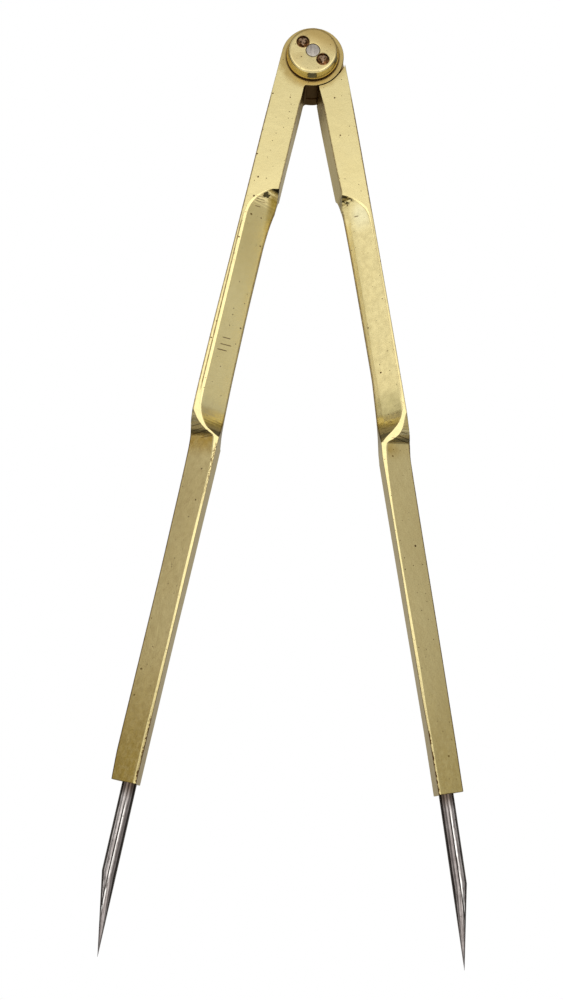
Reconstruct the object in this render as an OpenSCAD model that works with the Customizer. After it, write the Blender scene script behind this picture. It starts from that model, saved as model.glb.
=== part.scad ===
// Drawing dividers with straight brass legs, steel points and a knuckle joint.
// The tool lies flat: the pivot stands along Z, the points reach toward -Y and
// the two-hole nut faces up. Each leg is drawn closed, along -Y with its inner
// side toward x = 0, and then swung out to its resting angle.

/* [Whole tool] */
// Angle of each leg from the middle line as the tool rests, degrees
half_open = 10.55; // [2:0.05:60]
// Pivot to the end of the brass, mm
leg_len = 203.1; // [170:0.1:230]
// Pivot to the sharp end of the points, mm
reach = 246.3; // [235:0.1:262]

/* [Leg section] */
// Thickness of the brass legs, front to back, mm
leg_t = 12.4; // [10:0.1:15]
// Distance from the line through the pivot to the plane that widths start from, mm
inner_set = 0.7; // [0.6:0.05:1.2]
// Distance below the pivot where the flare of the outer side ends, mm
flare_len = 22; // [12:1:32]
// Widths of the fork leg at the flare, at the shoulder, at the top, the middle
// and the foot of the slope, and at the end of the brass, mm
fork_widths = [8.25, 8.7, 7.7, 7.25, 7.25, 6.9]; // [6.5:0.05:9]
// The same widths of the tongue leg, mm
tongue_widths = [8.2, 8.5, 7.9, 7.5, 7.15, 6.95]; // [6.5:0.05:9]
// Inner side of the fork leg from the middle line, beside the knuckle, at the
// top and the end of the hollow, and at the end of the brass, mm
fork_gaps = [0.4, 0.48, 0.6, 0.7]; // [0.3:0.05:1]
// The same for the tongue leg, mm
tongue_gaps = [0.08, 0.88, 0.85, 0.78]; // [0.05:0.01:1.2]
// Distance below the pivot where the inner sides start to leave the middle, mm
lead_len = 13; // [11:0.5:20]
// How much narrower the back of the fork leg is than its front, above the hollow, mm
fork_lean = 0.25; // [0.05:0.05:1]
// How much narrower the front of the tongue leg is than its back, above the hollow, mm
tongue_lean = 0.7; // [0.05:0.05:1]

/* [Middle hollow, on the inner corners] */
// Where the hollow of the fork leg starts below the pivot, mm
fork_hollow_start = 40; // [36:0.1:44]
// Where the hollow of the tongue leg starts below the pivot, mm
tongue_hollow_start = 40.9; // [36:0.1:44]
// Where both hollows end below the pivot, mm
hollow_end = 111.3; // [104:0.1:111.5]
// How much higher and lower the back hollow of the fork leg reaches, mm
fork_back_reach = [0.8, 0]; // [0:0.1:3]
// How much higher and lower the back hollow of the tongue leg reaches, mm
tongue_back_reach = [2.7, 0.4]; // [0:0.1:3]
// Radius of the upper run-outs of the hollows, mm
hollow_top_r = 9.6; // [8:0.1:14]
// Radius of the lower run-outs of the hollows, mm
hollow_low_r = 12; // [9:0.5:16]
// Width that the hollow takes on the front and back of the fork leg, mm
fork_hollow_w = 7.35; // [6.5:0.05:7.8]
// Width that the hollow takes on the front and back of the tongue leg, mm
tongue_hollow_w = 7.6; // [6.5:0.05:7.8]
// Thickness of the thin inner edge left between front and back hollows, mm
inner_edge_t = 1.4; // [1:0.1:2]
// How far the slope of the hollow is laid back from the inner side, fork leg, mm
fork_edge_set = 0.8; // [0.5:0.05:1.5]
// How far the slope of the hollow is laid back from the inner side, tongue leg, mm
tongue_edge_set = 1.2; // [0.5:0.05:1.5]

/* [Lower slope, on the outer corners] */
// Where the rounded shoulder meets the slope, mm below the pivot
shoulder_end = 111.7; // [111.6:0.1:114]
// Where the outer side of the fork leg starts to narrow, mm below the pivot
fork_narrow = 105; // [100:0.5:110]
// Where the outer side of the tongue leg starts to narrow, mm below the pivot
tongue_narrow = 111; // [105:0.5:113]
// Radius of that shoulder on the fork leg, mm
fork_shoulder_r = 15; // [12:0.5:18]
// Radius of that shoulder on the tongue leg, mm
tongue_shoulder_r = 7.75; // [6.5:0.25:9]
// Depth of the shoulder's middle under the slope of the fork leg, mm
fork_shoulder_drop = 9.6; // [8:0.1:9.8]
// Depth of the shoulder's middle under the slope of the tongue leg, mm
tongue_shoulder_drop = 3; // [1.5:0.1:3.2]
// Flat left on the front and back along the inner side, mm
slope_land = 0.7; // [0.5:0.05:1.5]
// Thickness of the thin outer edge where the slope begins, mm
outer_edge_t = 1.2; // [1:0.1:3]

/* [Knuckle joint] */
// Radius of the round cheeks of the fork, mm
cheek_r = 8.6; // [8:0.1:9.5]
// Thickness of the tongue between the cheeks, mm
tongue_t = 4.9; // [3.5:0.1:6]
// Radius of the tongue, mm
tongue_r = 8.45; // [7.8:0.05:9]
// Running gap on each face of the tongue, mm
face_gap = 0.03; // [0.02:0.01:0.1]
// Gap round the cheeks in front of the shoulder of the tongue leg, mm
shoulder_gap = 0.28; // [0.15:0.01:0.6]
// Radius in the corner between the fork cheeks and the fork leg, mm
crotch_r = 0.9; // [0.6:0.1:2]

/* [Pivot pin] */
// Diameter of the pin where the legs turn on it, mm
pin_d = 5; // [4.2:0.1:6]
// Diameter of the pin in the nut and in the back boss, mm
pin_end_d = 3.7; // [3:0.1:4]
// Radial running clearance round the pin, mm
pin_play = 0.03; // [0.02:0.01:0.08]

/* [Two-hole nut] */
// Radius of the nut at its foot, mm
nut_r = 7.25; // [6.5:0.05:8]
// Radius of the nut where its rounded top edge begins, mm
nut_top_r = 6.6; // [6.3:0.05:7.2]
// Height of the nut, mm
nut_h = 3.4; // [3:0.1:5]
// Radius of the rounded top edge of the nut, mm
nut_round = 0.45; // [0.2:0.05:0.8]
// Diameter of the two spanner holes, mm
spanner_d = 3.5; // [2.5:0.1:3.6]
// Distance between the centres of the two spanner holes, mm
spanner_pitch = 7.5; // [7.4:0.05:8.2]
// Full-width depth of the spanner holes, mm
spanner_depth = 1.3; // [0.8:0.1:1.8]
// Direction of the line through the two holes, degrees from +X
spanner_angle = -41.8; // [-90:0.1:90]

/* [Washer and back boss] */
// Radius of the thin washer under the nut, mm
washer_r = 6.95; // [6:0.05:7.2]
// Thickness of that washer, mm
washer_t = 0.3; // [0.2:0.05:0.8]
// Height of the boss behind the back cheek, mm
boss_h = 2.6; // [1.5:0.1:4]
// Radius of the rounded edge of the boss, mm
boss_round = 0.45; // [0.2:0.05:0.8]

/* [Steel points] */
// Diameter of the steel points, mm
point_d = 3.8; // [3:0.1:4.2]
// Length of each point held inside the brass, mm
point_hold = 16; // [10:1:25]
// Length ground to the sharp end, mm
point_grind = 21; // [12:0.5:30]
// Inner side of the fork point from the inner side of its leg, at the brass, mm
fork_point_set = 0.3; // [0.2:0.05:1.2]
// Lean of the fork point toward the middle, degrees
fork_point_lean = 0.6; // [0:0.05:1]
// Inner side of the tongue point from the inner side of its leg, at the brass, mm
tongue_point_set = 0.7; // [0.2:0.05:1.2]
// Lean of the tongue point toward the middle, degrees
tongue_point_lean = 1.15; // [0:0.05:1.4]

/* [Hidden] */
$fn = 96;
half_t = leg_t / 2;
mid_z = boss_h + half_t;
slot_t = tongue_t + 2 * face_gap;

// Set-back of the thin inner edge inside the hollow: distance below the pivot and
// distance from the plane that widths start from.
fork_edge = [[44, -0.3], [47, 0.2], [50.5, 0.55], [56, 0.8], [68, 0.82], [90, 0.6],
             [112.5, -0.12]];
tongue_edge = [[40.5, 0.1], [43, 0.55], [46, 0.85], [52, 1.02], [64, 1.2], [91.5, 1.33],
               [98, 1.05], [115.5, 0.12]];

// Places a closed leg at its resting angle; the fork leg is the mirrored one.
module swing_fork() {
  translate([0, 0, mid_z]) rotate([0, 0, -half_open]) mirror([1, 0, 0]) children();
}

module swing_tongue() {
  translate([0, 0, mid_z]) rotate([0, 0, half_open]) children();
}

// Turns a flat outline (x along the leg, y off the slope) so that its extrusion
// runs down a slope that falls toward the inner side from the point (x, z).
module on_slope(x, z, tilt) {
  translate([x, 0, z])
    rotate([0, -90 - tilt, 0])
      rotate([0, 0, -90])
        linear_extrude(height = 60, center = true)
          children();
}

// Plan outline of a leg below the pivot, in the closed position.
module leg_outline(gaps, widths, hollow_start, narrow) {
  polygon([
    [gaps[0], 0],
    [gaps[0], -lead_len],
    [gaps[1], -hollow_start],
    [gaps[2], -hollow_end - 2],
    [gaps[3], -leg_len],
    [inner_set + widths[5], -leg_len],
    [inner_set + widths[4], -leg_len + 9],
    [inner_set + widths[3], -leg_len + 46],
    [inner_set + widths[2], -shoulder_end - 5],
    [inner_set + widths[1], -narrow],
    [inner_set + widths[1], -85],
    [inner_set + widths[0], -flare_len],
    [cheek_r, 0]
  ]);
}

// Wide slope with round run-outs that hollows one inner corner of a leg.
module inner_hollow(from, to, width, edge_set) {
  tilt = atan((half_t - inner_edge_t / 2) / (width - edge_set));
  rise = width * sin(tilt);
  first = from + sqrt(2 * hollow_top_r * rise - rise * rise);
  last = to - sqrt(2 * hollow_low_r * rise - rise * rise);
  on_slope(inner_set + width, half_t, tilt) {
    translate([first, 0]) square([last - first, 2 * hollow_low_r]);
    translate([first, hollow_top_r]) circle(r = hollow_top_r);
    translate([last, hollow_low_r]) circle(r = hollow_low_r);
  }
}

// Sets back the thin edge between the front and back hollows along a profile.
module inner_arch(profile) {
  count = len(profile);
  translate([0, 0, -half_t - 1])
    linear_extrude(height = leg_t + 2)
      polygon(concat(
        [[-3, -profile[0][0]]],
        [for (point = profile) [inner_set + point[1], -point[0]]],
        [[-3, -profile[count - 1][0]]]
      ));
}

// Wide slope that takes off one outer corner of a leg, below a round shoulder.
module outer_slope(land, width, round_r, drop) {
  tilt = atan((half_t - outer_edge_t / 2) / (width - land));
  middle = shoulder_end - sqrt(round_r * round_r - drop * drop);
  translate([inner_set + land, 0, 0])
    mirror([1, 0, 0])
      on_slope(0, half_t, tilt)
        difference() {
          translate([middle, 0]) square([leg_len, 16]);
          translate([middle, -drop]) circle(r = round_r, $fn = 180);
        }
}

// Axis of a steel point, from the end of the brass toward the tip.
module point_axis(set, lean) {
  translate([inner_set + set + point_d / 2, -leg_len, 0])
    rotate([0, 0, -lean])
      rotate([90, 0, 0])
        children();
}

// Plan outlines of the two legs, each with its own widths.
module fork_outline() {
  leg_outline(fork_gaps, fork_widths, fork_hollow_start, fork_narrow);
}

module tongue_outline() {
  leg_outline(tongue_gaps, tongue_widths, tongue_hollow_start, tongue_narrow);
}

// Bar of the fork leg with its hollows, slopes and socket, without the knuckle.
module fork_bar() {
  difference() {
    translate([0, 0, -half_t]) linear_extrude(height = leg_t) fork_outline();
    for (side = [0, 1]) mirror([0, 0, side]) {
      inner_hollow(fork_hollow_start - side * fork_back_reach[0],
                   hollow_end + side * fork_back_reach[1], fork_hollow_w, fork_edge_set);
      outer_slope(slope_land, fork_widths[2], fork_shoulder_r, fork_shoulder_drop);
    }
    inner_arch(fork_edge);
    mirror([0, 0, 1]) side_lean(fork_gaps, fork_hollow_start, fork_lean);
    point_axis(fork_point_set, fork_point_lean)
      translate([0, 0, -point_hold]) cylinder(h = point_hold + 5, d = point_d);
  }
}

// The same for the tongue leg, whose inner side leans back toward the front.
module tongue_bar() {
  difference() {
    translate([0, 0, -half_t]) linear_extrude(height = leg_t) tongue_outline();
    for (side = [0, 1]) mirror([0, 0, side]) {
      inner_hollow(tongue_hollow_start - side * tongue_back_reach[0],
                   hollow_end + side * tongue_back_reach[1], tongue_hollow_w,
                   tongue_edge_set);
      outer_slope(slope_land, tongue_widths[2], tongue_shoulder_r, tongue_shoulder_drop);
    }
    inner_arch(tongue_edge);
    side_lean(tongue_gaps, tongue_hollow_start, tongue_lean);
    point_axis(tongue_point_set, tongue_point_lean)
      translate([0, 0, -point_hold]) cylinder(h = point_hold + 5, d = point_d);
  }
}

// Small concave fillet between the cheeks and the inner side of the fork leg.
module crotch_fillet() {
  cx = fork_gaps[0] - crotch_r;
  cy = -sqrt(pow(cheek_r + crotch_r, 2) - cx * cx);
  k = cheek_r / (cheek_r + crotch_r);
  translate([0, 0, -half_t])
    linear_extrude(height = leg_t)
      difference() {
        polygon([[fork_gaps[0] + 0.3, -cheek_r + 1], [fork_gaps[0] + 0.3, cy],
                 [cx, cy], [cx * k, cy * k], [cx * k, cy * k + 0.6]]);
        translate([cx, cy]) circle(r = crotch_r);
      }
}

// Cutter that makes the inner side of a leg lean away toward the front, from the
// knuckle to the top of the hollow.
module side_lean(gaps, hollow_start, lean) {
  below = 12;
  turn = atan((gaps[1] - gaps[0]) / (hollow_start - lead_len));
  translate([gaps[1], -hollow_start, -half_t])
    rotate([0, 0, turn])
      rotate([0, atan(lean / leg_t), 0])
        translate([-4, -below, -1])
          cube([4, hollow_start + below, leg_t + 4]);
}

// Brass leg whose head is a fork of two round cheeks.
module fork_leg() {
  color([0.80, 0.70, 0.42])
    swing_fork()
      difference() {
        union() {
          fork_bar();
          translate([0, 0, -half_t]) cylinder(h = leg_t, r = cheek_r);
          crotch_fillet();
        }
        translate([0, 0, -slot_t / 2]) cylinder(h = slot_t, r = tongue_r + 0.15);
        translate([0, 0, -half_t - 1]) cylinder(h = leg_t + 2, d = pin_d);
      }
}

// Brass leg whose head is the single round tongue between the cheeks.
module tongue_leg() {
  relief_r = cheek_r + 0.65;
  gap = tongue_gaps[0];
  color([0.78, 0.68, 0.40])
    swing_tongue()
      difference() {
        union() {
          difference() {
            tongue_bar();
            translate([gap, -cheek_r - shoulder_gap - 0.32, -half_t - 1])
              rotate([0, 0, 45])
                translate([-1, 0, 0]) cube([3, 2, leg_t + 2]);
            translate([0, 0, -half_t - 1])
              cylinder(h = leg_t + 2, r = cheek_r + shoulder_gap);
            translate([0.41, 0.84, -half_t - 1]) cylinder(h = leg_t + 2, r = relief_r);
          }
          intersection() {
            translate([0, 0, -tongue_t / 2])
              linear_extrude(height = tongue_t)
                tongue_outline();
            translate([gap + 0.8, -14, -half_t]) cube([8, 14, leg_t]);
          }
          translate([0, 0, -tongue_t / 2]) cylinder(h = tongue_t, r = tongue_r);
        }
        translate([0, 0, -half_t])
          cylinder(h = leg_t, d = pin_d + 2 * pin_play);
      }
}

// Steel point: a round shank, ground on its outer side down to a sharp end.
module steel_point(set, lean) {
  bare = reach - leg_len;
  taper = atan(point_d / point_grind) / 2;
  point_axis(set, lean)
    intersection() {
      translate([0, 0, -point_hold]) cylinder(h = point_hold + bare, d = point_d);
      translate([-point_d / 2, 0, bare])
        rotate([0, -taper, 0])
          mirror([0, 0, 1])
            cylinder(h = 80, r1 = 0.06, r2 = 0.06 + 80 * tan(taper));
    }
}

module fork_point() {
  color([0.52, 0.50, 0.47]) swing_fork() steel_point(fork_point_set, fork_point_lean);
}

module tongue_point() {
  color([0.52, 0.50, 0.47]) swing_tongue() steel_point(tongue_point_set, tongue_point_lean);
}

// Steel pin fixed in the fork and in the back boss; its thin end fills the nut.
module pivot_pin() {
  body = leg_t - 0.4;
  color([0.62, 0.60, 0.60]) {
    cylinder(h = boss_h + leg_t + washer_t + nut_h, d = pin_end_d);
    translate([0, 0, mid_z - body / 2]) cylinder(h = body, d = pin_d);
  }
}

// Thin steel washer between the front cheek and the nut.
module nut_washer() {
  color([0.35, 0.33, 0.31])
    translate([0, 0, mid_z + half_t])
      difference() {
        cylinder(h = washer_t, r = washer_r);
        translate([0, 0, -1]) cylinder(h = washer_t + 2, d = pin_end_d);
      }
}

// Round brass disc, flat on z = 0, that tapers to a rounded top edge.
module round_cap(height, edge) {
  rotate_extrude() {
    polygon([[0, 0], [nut_r, 0], [nut_top_r, height - edge],
             [nut_top_r - edge, height - edge], [nut_top_r - edge, height], [0, height]]);
    intersection() {
      translate([nut_top_r - edge, height - edge]) circle(r = edge);
      translate([0, height - edge]) square([nut_r, edge]);
    }
  }
}

// Round brass nut with two blind spanner holes in its flat face.
module spanner_nut() {
  lift = 0.02;
  tip = spanner_d / 2 / tan(59);
  color([0.82, 0.72, 0.45])
    translate([0, 0, mid_z + half_t + washer_t + lift])
      difference() {
        round_cap(nut_h - lift, nut_round);
        translate([0, 0, -1]) cylinder(h = nut_h + 2, d = pin_end_d + 2 * pin_play);
        for (side = [0, 180])
          rotate([0, 0, spanner_angle + side])
            translate([spanner_pitch / 2, 0, nut_h - lift]) {
              translate([0, 0, -spanner_depth]) cylinder(h = spanner_depth + 1, d = spanner_d);
              translate([0, 0, -spanner_depth - tip])
                cylinder(h = tip, r1 = 0, r2 = spanner_d / 2);
            }
      }
}

// Round brass boss behind the back cheek, holding the other end of the pin.
module back_boss() {
  color([0.80, 0.70, 0.42])
    difference() {
      translate([0, 0, boss_h]) mirror([0, 0, 1]) round_cap(boss_h, boss_round);
      translate([0, 0, -1]) cylinder(h = boss_h + 2, d = pin_end_d);
    }
}

fork_leg();
tongue_leg();
fork_point();
tongue_point();
pivot_pin();
nut_washer();
spanner_nut();
back_boss();
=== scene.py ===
import bpy
import bmesh
import math
from mathutils import Matrix, Vector, noise


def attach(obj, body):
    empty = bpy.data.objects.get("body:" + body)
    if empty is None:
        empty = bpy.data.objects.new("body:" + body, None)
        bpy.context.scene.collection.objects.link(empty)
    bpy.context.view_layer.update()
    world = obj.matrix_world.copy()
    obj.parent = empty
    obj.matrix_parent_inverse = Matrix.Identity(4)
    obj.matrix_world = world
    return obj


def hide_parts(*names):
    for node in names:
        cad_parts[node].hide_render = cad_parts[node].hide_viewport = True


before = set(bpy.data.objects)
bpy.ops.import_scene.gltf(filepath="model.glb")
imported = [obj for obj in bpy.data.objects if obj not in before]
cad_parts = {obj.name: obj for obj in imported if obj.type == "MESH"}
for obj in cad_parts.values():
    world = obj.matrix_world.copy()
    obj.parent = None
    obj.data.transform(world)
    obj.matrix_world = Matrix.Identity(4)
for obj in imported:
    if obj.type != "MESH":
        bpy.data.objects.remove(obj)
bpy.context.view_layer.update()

scene = bpy.context.scene
scene.view_settings.view_transform = "Standard"
scene.view_settings.look = "None"

MM = 0.001
HALF_OPEN = 10.55          # angle of each leg from the middle line at rest, degrees
MID_Z = 8.8                # height of the middle of the legs, mm
HALF_T = 6.2               # half the thickness of the legs, mm
BASE = 0.7                 # plane that the leg widths start from, mm
LEG_LEN = 203.1            # from the pivot to the end of the brass, mm
CHEEK_R = 8.6              # radius of the two round cheeks of the fork, mm
TONGUE_R = 8.45            # radius of the round end of the tongue, mm
SLOT = 2.48                # half the thickness of the slot between the cheeks, mm
EDGE_R = 0.15              # rounding of the long edges, mm
CORNER_STEPS = 3           # parts that each rounded edge is divided into
FACET_TILT = 12            # lean of the narrow facet beside a hollow, degrees
KNEE_FROM, KNEE_TO = 40, 112.5   # stretch where a hollow may turn steeper, mm
POINT_R = 1.9              # radius of the steel points, mm
POINT_SHOWN = 43.2         # length of a point below the brass, mm
PIN_R, PIN_END_R = 2.49, 1.84    # the pin's middle and its ends, mm
PIN_TOP = 18.7             # height of the pin's upper end, mm
HOLE_AT = 3.75             # distance of the spanner holes from the pivot, mm
HOLE_TURN = -41.8          # direction of the spanner holes, degrees
NONE = -9.0                # a boundary that cuts nothing


def curve(*points):
    """Smooth curve through the points that never overshoots them (monotone cubic)."""
    xs, ys = [p[0] for p in points], [p[1] for p in points]
    n = len(xs)
    steps = [(ys[i + 1] - ys[i]) / (xs[i + 1] - xs[i]) for i in range(n - 1)]
    tangents = [steps[0]]
    for a, b in zip(steps[:-1], steps[1:]):
        tangents.append(0.0 if a * b <= 0 else 2 * a * b / (a + b))
    tangents.append(steps[-1])

    def value(x):
        if x <= xs[0]:
            return ys[0]
        if x >= xs[-1]:
            return ys[-1]
        i = max(k for k in range(n - 1) if xs[k] <= x)
        h = xs[i + 1] - xs[i]
        t = (x - xs[i]) / h
        return ((2 * t ** 3 - 3 * t ** 2 + 1) * ys[i] + (t ** 3 - 2 * t ** 2 + t) * h * tangents[i]
                + (3 * t ** 2 - 2 * t ** 3) * ys[i + 1] + (t ** 3 - t ** 2) * h * tangents[i + 1])
    return value


def bump(x, centre, width):
    """Smooth hill of height 1 over centre - width .. centre + width."""
    t = abs(x - centre) / width
    return 0.0 if t >= 1 else (1 - t * t) ** 2


# Leg shapes. Distances s run down from the pivot; widths w run outward from BASE, mm.
# point_in and point_lean place the steel point: how far its inner side is from BASE at the
# end of the brass, mm, and its lean inward, degrees.
FORK = dict(
    name="fork", side=-1, angle=-HALF_OPEN, seed=3.1, point_in=0.3, point_lean=0.6,
    head_r=CHEEK_R, hollow_tilt=41.4, low_tilt=44.0, knee=None, slope_tilt=38.5,
    front_in=curve((9.5, -0.3), (13, -0.3), (40, -0.24), (60, -0.1), (113, 0.02), (203.1, 0.0)),
    back_in=curve((9.5, -0.28), (15, -0.25), (28, -0.05), (36, 0.02), (60, 0.0), (113, -0.15),
                  (148, -0.05), (170, 0.05), (203.1, 0.0)),
    outer=curve((0, 7.9), (6, 7.98), (12, 8.08), (22, 8.22), (45, 8.38), (65, 8.54), (85, 8.7),
                (97, 8.7), (104.5, 8.62), (107.6, 8.45), (109.8, 8.12), (112, 7.9), (114, 7.77),
                (117, 7.7), (135, 7.45), (152, 7.26), (170, 7.25), (195, 7.25), (200, 7.05),
                (203.1, 6.88)),
    hollow=curve((39.6, NONE), (39.8, -1.2), (40.1, 0.1), (40.5, 1.77), (41.6, 3.39), (42.8, 4.65),
                 (44.4, 5.8), (46.5, 6.65), (48.5, 6.95), (52, 7.0), (97, 7.0), (103, 6.75),
                 (105.3, 6.15), (107.2, 5.25), (109.1, 3.8), (110.2, 2.05), (111.2, 0.2),
                 (111.6, -1.4), (111.8, NONE)),
    facet=curve((39.6, NONE), (39.8, -1.2), (40.1, 0.1), (40.5, 1.85), (41.6, 3.6), (42.8, 5.0),
                (44.4, 6.3), (46.5, 7.2), (48.5, 7.5), (51, 7.6), (56, 7.66), (95, 7.66),
                (103, 7.05), (105.3, 6.25), (107.2, 5.32), (109.1, 3.85), (110.2, 2.1),
                (111.2, 0.22), (111.6, -1.4), (111.8, NONE)),
    back_hollow=(-0.8, 0.0),
    slope=curve((104.2, 9.6), (105.3, 8.3), (107.3, 6.8), (109.0, 5.05), (110.0, 3.6),
                (110.9, 1.75), (111.5, 1.34), (113.1, 1.1), (116, 0.72), (119, 0.62), (125, 0.6),
                (135, 0.7), (150, 0.74), (162, 0.64), (167, 0.62), (174, 0.7), (182, 0.68),
                (188, 0.78), (203.1, 0.7)),
    edge=curve((43.4, NONE), (43.8, -0.6), (45, -0.15), (47, 0.18), (50.5, 0.55), (56, 0.8),
               (68, 0.82), (90, 0.6), (104, 0.24), (111.5, 0.0), (112.3, -0.3), (112.8, NONE)),
)
TONGUE = dict(
    name="tongue", side=1, angle=HALF_OPEN, seed=7.7, point_in=0.7, point_lean=1.15,
    head_r=TONGUE_R, hollow_tilt=40.7, low_tilt=42.6, knee=2.5, slope_tilt=38.0,
    front_in=curve((9.5, -0.3), (12, -0.05), (15, 0.08), (21, 0.22), (27, 0.38), (33, 0.58),
                   (39, 0.86), (46, 1.2), (60, 1.2), (113, 0.12), (125, 0.12), (146, 0.1),
                   (160, -0.03), (178, -0.08), (184, 0.0), (188, 0.1), (203.1, 0.1)),
    back_in=curve((9.5, -0.66), (14, -0.64), (23, -0.4), (34.5, 0.0), (40, 0.18), (60, 0.2),
                  (113, 0.18), (125, 0.14), (185, 0.2), (203.1, 0.03)),
    outer=curve((0, 7.75), (6, 7.9), (12, 8.04), (22, 8.18), (45, 8.32), (60, 8.42), (85, 8.48),
                (104, 8.48), (109.5, 8.46), (112, 8.36), (114, 8.12), (116.2, 7.93), (120, 7.88),
                (150, 7.6), (172, 7.4), (188, 7.2), (203.1, 6.95)),
    hollow=curve((40.2, NONE), (40.5, -1.2), (41.0, 0.2), (41.5, 1.2), (42.2, 2.76), (43.4, 4.4),
                 (45.1, 5.95), (46.6, 6.9), (48.6, 7.38), (52, 7.52), (60, 7.6), (97, 7.6),
                 (102.5, 7.5), (104.5, 6.98), (106.5, 5.85), (108.35, 4.05), (109.9, 2.05),
                 (111.3, 0.28), (111.8, -1.2), (112.0, NONE)),
    facet=curve((40.2, NONE), (40.5, -1.2), (41.0, 0.2), (41.5, 1.35), (42.2, 3.0), (43.4, 4.8),
                (45.1, 6.45), (46.6, 7.3), (48.6, 7.65), (52, 7.7), (60, 7.72), (97, 7.72),
                (102.5, 7.58), (104.5, 7.04), (106.5, 5.9), (108.35, 4.1), (109.9, 2.08),
                (111.3, 0.3), (111.8, -1.2), (112.0, NONE)),
    back_hollow=(-2.7, 0.4),
    slope=curve((103.0, 9.4), (104.65, 8.0), (106.7, 7.2), (108.7, 6.25), (109.75, 5.35),
                (110.7, 3.75), (111.3, 2.2), (111.8, 1.78), (112.9, 1.5), (114.6, 1.3), (116, 1.17),
                (119, 1.01), (122, 0.88), (125, 0.8), (128, 0.71), (134, 0.65), (143, 0.62),
                (158, 0.7), (168, 0.74), (175, 0.7), (182, 0.62), (190, 0.66), (203.1, 0.62)),
    edge=curve((39.6, NONE), (40.0, -0.4), (41, 0.15), (43, 0.55), (46, 0.85), (52, 1.02),
               (64, 1.2), (91.5, 1.33), (98, 1.05), (106, 0.62), (114, 0.22), (115.5, -0.1),
               (116, NONE)),
)


# Faces of a leg's section, in the order that leg_planes gives them.
(OUTER, SLOPE, FRONT, FACET, HOLLOW, KNEE, INNER,
 BACK_HOLLOW, BACK_FACET, BACK, BACK_SLOPE) = range(11)


def head_in(s, leg):
    """Inner side (x) of a leg beside the knuckle, with the crotch fillet of the fork."""
    r = leg["head_r"]
    gap = BASE + leg["front_in"](10)
    if leg is FORK:
        round_r = 0.9
        cx = gap - round_r
        cs = math.sqrt((r + round_r) ** 2 - cx * cx)
        if s >= cs:
            return None
        if s > cs * r / (r + round_r):
            return cx + math.sqrt(max(0.0, round_r ** 2 - (cs - s) ** 2))
    elif s > r - 0.02:
        return None
    return -math.sqrt(max(0.0, r * r - s * s))


def leg_planes(leg, s, shrink):
    """Half-planes (angle, distance) that bound the leg's section at s, in x and z."""
    z = HALF_T
    planes = []

    def add(angle, x, height):
        a = math.radians(angle)
        planes.append((a, x * math.cos(a) + height * math.sin(a) - shrink))

    hollow, slope = leg["hollow_tilt"], leg["slope_tilt"]
    up, down = leg["back_hollow"]
    halfway = 76.0
    s_back = s - up if s < halfway else s - down
    inner = head_in(s, leg)
    if inner is None:
        front, back = BASE + leg["front_in"](s), BASE + leg["back_in"](s)
    else:
        front = back = inner
    lean = math.degrees(math.atan2(front - back, 2 * z))
    edge = leg["edge"](s)
    outer = BASE + leg["outer"](s) if s > 0 else math.sqrt(max(0.0, leg["head_r"] ** 2 - s * s))
    add(0, outer, 0)
    add(90 - slope, BASE + leg["slope"](s), z)
    add(90, 0, z)
    add(90 + FACET_TILT, BASE + leg["facet"](s), z)
    add(90 + hollow, BASE + leg["hollow"](s), z)
    if leg["knee"] is not None and KNEE_FROM <= s <= KNEE_TO:
        fall = (leg["hollow"](s) - leg["knee"]) * math.tan(math.radians(hollow))
        add(90 + leg["low_tilt"], BASE + leg["knee"], z - fall)
    else:
        add(90 + leg["low_tilt"], 0, 9 * z)  # cuts nothing
    if edge > -2 and BASE + edge > (front + back) / 2:
        add(180, BASE + edge, 0)
    else:
        add(180 - lean, front, z)
    add(270 - hollow, BASE + leg["hollow"](s_back), -z)
    add(270 - FACET_TILT, BASE + leg["facet"](s_back), -z)
    add(270, 0, -z)
    add(270 + slope, BASE + leg["slope"](s), -z)
    return planes


def clip(poly, a, d):
    """Cuts a convex polygon with the half-plane n.p <= d."""
    nx, nz = math.cos(a), math.sin(a)
    out = []
    for p, q in zip(poly, poly[1:] + poly[:1]):
        dp, dq = p[0] * nx + p[1] * nz - d, q[0] * nx + q[1] * nz - d
        if dp <= 0:
            out.append(p)
        if (dp < 0 < dq) or (dq < 0 < dp):
            t = dp / (dp - dq)
            out.append((p[0] + (q[0] - p[0]) * t, p[1] + (q[1] - p[1]) * t))
    return out


def section(planes, r):
    """Points round a rounded section: 7 on each face, and CORNER_STEPS - 1 on each corner.

    Each point has its x, its z, the direction it faces and its face's number, which for a
    corner is halfway between those of its two faces."""
    wide = 40.0
    poly = [(-wide, -wide), (wide, -wide), (wide, wide), (-wide, wide)]
    for a, d in planes:
        poly = clip(poly, a, d - r)
    if len(poly) < 3:
        return None
    ends = []
    for a, d in planes:
        nx, nz = math.cos(a), math.sin(a)
        best = max(p[0] * nx + p[1] * nz for p in poly)
        touch = sorted((-p[0] * nz + p[1] * nx, p) for p in poly
                       if p[0] * nx + p[1] * nz > best - 1e-6)
        ends.append((touch[0][1], touch[-1][1]))
    points = []
    count = len(planes)
    for i, (a, d) in enumerate(planes):
        p, q = ends[i]
        length = math.hypot(q[0] - p[0], q[1] - p[1])
        near = 0.12 / length if length > 0.6 else 1 / 6
        rest = 1 - 2 * near
        for u in (0, near, near + rest * 0.25, 0.5, near + rest * 0.75, 1 - near, 1):
            points.append((p[0] + (q[0] - p[0]) * u + r * math.cos(a),
                           p[1] + (q[1] - p[1]) * u + r * math.sin(a), a, i))
        b = planes[(i + 1) % count][0] + (2 * math.pi if i == count - 1 else 0)
        for k in range(1, CORNER_STEPS):
            c = a + (b - a) * k / CORNER_STEPS
            points.append((q[0] + r * math.cos(c), q[1] + r * math.sin(c), c, i + 0.5))
    return points


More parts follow.
